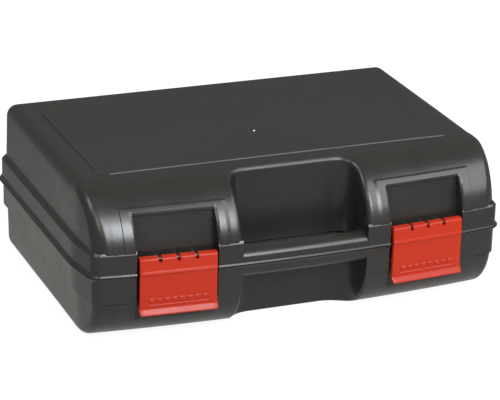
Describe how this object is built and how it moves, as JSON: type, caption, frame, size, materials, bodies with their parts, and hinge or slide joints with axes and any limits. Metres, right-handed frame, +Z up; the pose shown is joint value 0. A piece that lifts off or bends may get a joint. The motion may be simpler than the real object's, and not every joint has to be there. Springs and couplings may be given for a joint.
{
  "type": "hard tool case",
  "caption": "Moulded hard tool case with a bowed front, hinged lid, hand opening with a built-in handle and red snap latches.",
  "frame": {"origin": "under the middle of the closed case, on the surface it lies on", "axes": "+X along the width, -Y out of the front with the handle, +Z up"},
  "size_m": [0.37, 0.2648, 0.13],
  "materials": {
    "shell": "satin",
    "latch": "satin",
    "pin": "satin"
  },
  "bodies": {
    "base": {"base_shell": "shell", "left_hinge_pin": "pin", "right_hinge_pin": "pin"},
    "lid": {"lid_shell": "shell", "left_latch_pin": "pin", "right_latch_pin": "pin"},
    "left_latch": {"left_latch": "latch"},
    "right_latch": {"right_latch": "latch"}
  },
  "joints": [
    {"name": "lid_hinge", "type": "hinge", "parent": "base", "child": "lid", "pos_m": [0, 0.1282, 0.062], "axis": [-1, 0, 0], "range_deg": [0, 110]},
    {"name": "left_latch_hinge", "type": "hinge", "parent": "lid", "child": "left_latch", "pos_m": [-0.10828, -0.1228, 0.0743], "axis": [-0.9977, 0.0682, 0], "range_deg": [-4, 120]},
    {"name": "right_latch_hinge", "type": "hinge", "parent": "lid", "child": "right_latch", "pos_m": [0.10828, -0.1228, 0.0743], "axis": [-0.9977, -0.0682, 0], "range_deg": [-4, 120]}
  ]
}
